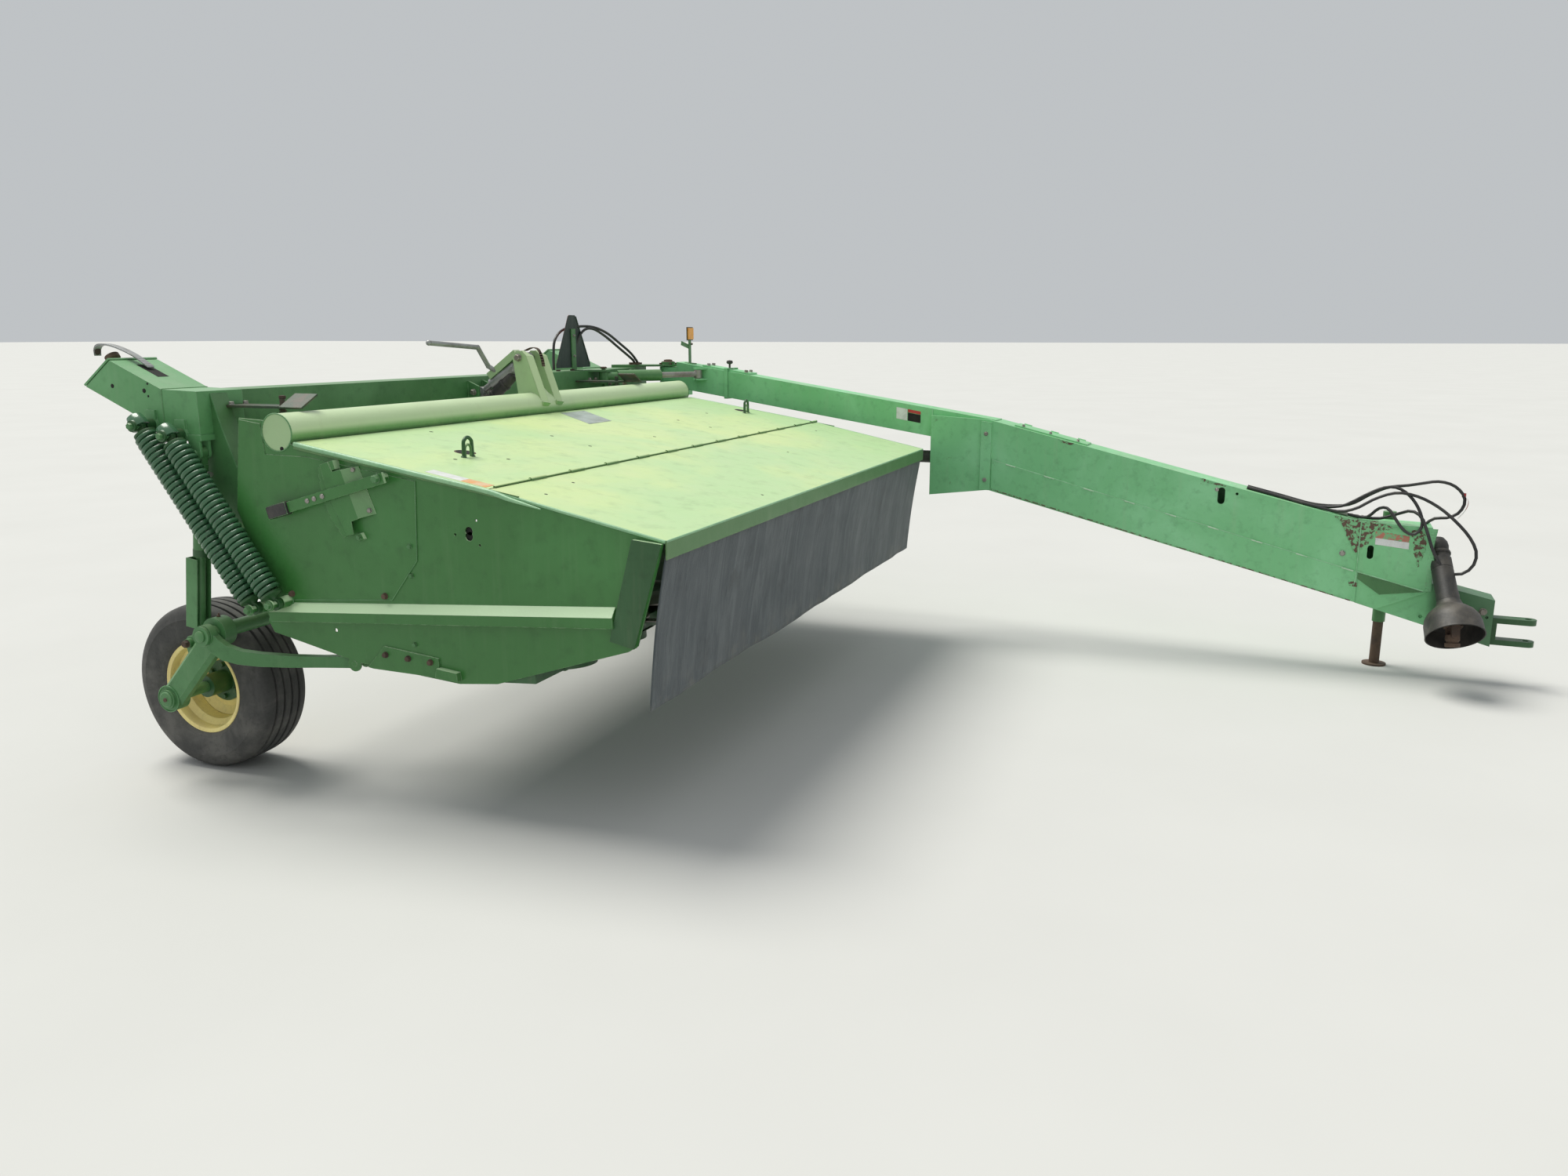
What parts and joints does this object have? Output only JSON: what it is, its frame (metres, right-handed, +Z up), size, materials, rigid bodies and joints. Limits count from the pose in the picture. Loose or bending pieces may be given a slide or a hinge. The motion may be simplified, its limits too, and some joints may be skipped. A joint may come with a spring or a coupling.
{
  "type": "trailed disc mower conditioner",
  "caption": "Side-pull disc mower conditioner with hinged front hood, tined rotor, floating header, trailing wheel arms with lift cylinders and a long cranked tongue that swings on a rear pin.",
  "frame": {"origin": "on the ground below the middle of the whole parked machine's box, hitch and wheels included", "axes": "+X to the machine's left, -Y the way it travels, +Z up"},
  "size_m": [4.209, 6.2098, 2.032],
  "materials": {
    "green_paint": "weathered green paint",
    "faded_paint": "sun-faded yellowish green paint",
    "dark_green_paint": "dark green paint with dust",
    "yellow_paint": "dusty yellow wheel paint",
    "worn_steel": "worn bare steel",
    "rusty_steel": "light rust",
    "sign_plate": "orange front, dark back",
    "curtain_cloth": "grey worn canvas",
    "tyre": "dusty ribbed rubber",
    "black_plastic": "dusty black shield"
  },
  "bodies": {
    "frame": {"main_frame": "green_paint", "spring_arm_right": "green_paint", "spring_arm_left": "green_paint", "float_springs_right": "dark_green_paint", "float_springs_left": "dark_green_paint", "lower_link_right": "green_paint", "lower_link_left": "green_paint", "tilt_link": "worn_steel", "slow_vehicle_sign": "sign_plate", "transport_latches": "green_paint", "header_tube": "faded_paint", "end_panel_right": "green_paint", "end_panel_left": "green_paint", "hood_rear": "faded_paint", "cutterbar": "dark_green_paint", "crop_pan": "dark_green_paint", "conditioner_hood": "dark_green_paint", "forming_shields": "green_paint", "drive_gearbox": "dark_green_paint"},
    "hood": {"hood_front": "faded_paint", "curtain_front": "curtain_cloth"},
    "cutting_disc_1": {"disc_1": "worn_steel"},
    "cutting_disc_2": {"disc_2": "worn_steel"},
    "cutting_disc_3": {"disc_3": "worn_steel"},
    "cutting_disc_4": {"disc_4": "worn_steel"},
    "cutting_disc_5": {"disc_5": "worn_steel"},
    "cutting_disc_6": {"disc_6": "worn_steel"},
    "cutting_disc_7": {"disc_7": "worn_steel"},
    "cutting_disc_8": {"disc_8": "worn_steel"},
    "rotor": {"impeller": "worn_steel"},
    "wheel_arm_body_right": {"wheel_arm_right": "green_paint"},
    "wheel_right": {"hub_right": "dark_green_paint", "rim_right": "yellow_paint", "tyre_right": "tyre"},
    "lift_barrel_body_right": {"lift_barrel_right": "dark_green_paint"},
    "lift_rod_body_right": {"lift_rod_right": "worn_steel"},
    "wheel_arm_body_left": {"wheel_arm_left": "green_paint"},
    "wheel_left": {"hub_left": "dark_green_paint", "rim_left": "yellow_paint", "tyre_left": "tyre"},
    "lift_barrel_body_left": {"lift_barrel_left": "dark_green_paint"},
    "lift_rod_body_left": {"lift_rod_left": "worn_steel"},
    "tongue": {"tongue_tube": "green_paint", "tongue_box": "green_paint", "hitch_clevis": "dark_green_paint", "jack_sleeve": "green_paint", "pto_shaft": "black_plastic"},
    "jack": {"jack_leg": "rusty_steel"},
    "swing_barrel_body": {"swing_barrel": "dark_green_paint"},
    "swing_rod_body": {"swing_rod": "worn_steel"},
    "driveline": {"header_driveline": "black_plastic"}
  },
  "joints": [
    {"name": "front_hood_lift", "type": "hinge", "parent": "frame", "child": "hood", "pos_m": [-0.1205, 1.1, 1.352], "axis": [-1, 0, 0], "range_deg": [0, 110]},
    {"name": "disc_1_spin", "type": "hinge", "parent": "frame", "child": "cutting_disc_1", "pos_m": [-1.6325, 1.01, 0.603], "axis": [0, 0.068, 0.9977], "continuous": true},
    {"name": "disc_2_spin", "type": "hinge", "parent": "frame", "child": "cutting_disc_2", "pos_m": [-1.2005, 1.01, 0.603], "axis": [0, 0.068, 0.9977], "continuous": true},
    {"name": "disc_3_spin", "type": "hinge", "parent": "frame", "child": "cutting_disc_3", "pos_m": [-0.7685, 1.01, 0.603], "axis": [0, 0.068, 0.9977], "continuous": true},
    {"name": "disc_4_spin", "type": "hinge", "parent": "frame", "child": "cutting_disc_4", "pos_m": [-0.3365, 1.01, 0.603], "axis": [0, 0.068, 0.9977], "continuous": true},
    {"name": "disc_5_spin", "type": "hinge", "parent": "frame", "child": "cutting_disc_5", "pos_m": [0.0955, 1.01, 0.603], "axis": [0, 0.068, 0.9977], "continuous": true},
    {"name": "disc_6_spin", "type": "hinge", "parent": "frame", "child": "cutting_disc_6", "pos_m": [0.5275, 1.01, 0.603], "axis": [0, 0.068, 0.9977], "continuous": true},
    {"name": "disc_7_spin", "type": "hinge", "parent": "frame", "child": "cutting_disc_7", "pos_m": [0.9595, 1.01, 0.603], "axis": [0, 0.068, 0.9977], "continuous": true},
    {"name": "disc_8_spin", "type": "hinge", "parent": "frame", "child": "cutting_disc_8", "pos_m": [1.3915, 1.01, 0.603], "axis": [0, 0.068, 0.9977], "continuous": true},
    {"name": "rotor_spin", "type": "hinge", "parent": "frame", "child": "rotor", "pos_m": [-0.1205, 1.705, 0.985], "axis": [1, 0, 0], "continuous": true},
    {"name": "wheel_arm_right_lift", "type": "hinge", "parent": "frame", "child": "wheel_arm_body_right", "pos_m": [-1.9725, 2.435, 0.695], "axis": [1, 0, 0], "range_deg": [0, 45]},
    {"name": "wheel_right_roll", "type": "hinge", "parent": "wheel_arm_body_right", "child": "wheel_right", "pos_m": [-1.7375, 2.73, 0.375], "axis": [1, 0, 0], "continuous": true},
    {"name": "lift_barrel_right_tilt", "type": "hinge", "parent": "frame", "child": "lift_barrel_body_right", "pos_m": [-1.9275, 2.52, 1.43], "axis": [1, 0, 0], "range_deg": [-0.5, 2]},
    {"name": "lift_rod_right_slide", "type": "slide", "parent": "lift_barrel_body_right", "child": "lift_rod_body_right", "axis": [0, 0.1325, -0.9912], "range_m": [-0.165, 0.005]},
    {"name": "wheel_arm_left_lift", "type": "hinge", "parent": "frame", "child": "wheel_arm_body_left", "pos_m": [1.7315, 2.435, 0.695], "axis": [1, 0, 0], "range_deg": [0, 45]},
    {"name": "wheel_left_roll", "type": "hinge", "parent": "wheel_arm_body_left", "child": "wheel_left", "pos_m": [1.4965, 2.73, 0.375], "axis": [1, 0, 0], "continuous": true},
    {"name": "lift_barrel_left_tilt", "type": "hinge", "parent": "frame", "child": "lift_barrel_body_left", "pos_m": [1.6865, 2.52, 1.43], "axis": [1, 0, 0], "range_deg": [-0.5, 2]},
    {"name": "lift_rod_left_slide", "type": "slide", "parent": "lift_barrel_body_left", "child": "lift_rod_body_left", "axis": [0, 0.1325, -0.9912], "range_m": [-0.165, 0.005]},
    {"name": "tongue_swing", "type": "hinge", "parent": "frame", "child": "tongue", "pos_m": [2.0295, 2.32, 1.59], "axis": [0, 0, 1], "range_deg": [-2.5, 23.5]},
    {"name": "jack_slide", "type": "slide", "parent": "tongue", "child": "jack", "axis": [0, 0, 1], "range_m": [0, 0.24]},
    {"name": "swing_barrel_turn", "type": "hinge", "parent": "frame", "child": "swing_barrel_body", "pos_m": [1.2795, 2.42, 1.642], "axis": [0, 0, 1], "range_deg": [-1, 4]},
    {"name": "swing_rod_slide", "type": "slide", "parent": "swing_barrel_body", "child": "swing_rod_body", "axis": [0.8448, -0.5351, 0], "range_m": [-0.02, 0.13]},
    {"name": "driveline_turn", "type": "hinge", "parent": "frame", "child": "driveline", "pos_m": [1.9395, 2.025, 1.13], "axis": [0, 0, 1], "range_deg": [-4, 28.5]}
  ],
  "couplings": [
    {"joint": "disc_2_spin", "follows": "disc_1_spin", "ratio": -1},
    {"joint": "disc_3_spin", "follows": "disc_1_spin", "ratio": 1},
    {"joint": "disc_4_spin", "follows": "disc_1_spin", "ratio": -1},
    {"joint": "disc_5_spin", "follows": "disc_1_spin", "ratio": 1},
    {"joint": "disc_6_spin", "follows": "disc_1_spin", "ratio": -1},
    {"joint": "disc_7_spin", "follows": "disc_1_spin", "ratio": 1},
    {"joint": "disc_8_spin", "follows": "disc_1_spin", "ratio": -1},
    {"joint": "lift_barrel_right_tilt", "follows": "wheel_arm_right_lift", "ratio": 0.0311},
    {"joint": "lift_rod_right_slide", "follows": "wheel_arm_right_lift", "m_per_rad": -0.1999},
    {"joint": "lift_barrel_left_tilt", "follows": "wheel_arm_right_lift", "ratio": 0.0311},
    {"joint": "lift_rod_left_slide", "follows": "wheel_arm_right_lift", "m_per_rad": -0.1999},
    {"joint": "wheel_arm_left_lift", "follows": "wheel_arm_right_lift", "ratio": 1},
    {"joint": "swing_barrel_turn", "follows": "tongue_swing", "ratio": 0.1277},
    {"joint": "swing_rod_slide", "follows": "tongue_swing", "m_per_rad": 0.3014},
    {"joint": "driveline_turn", "follows": "tongue_swing", "ratio": 1.155}
  ]
}
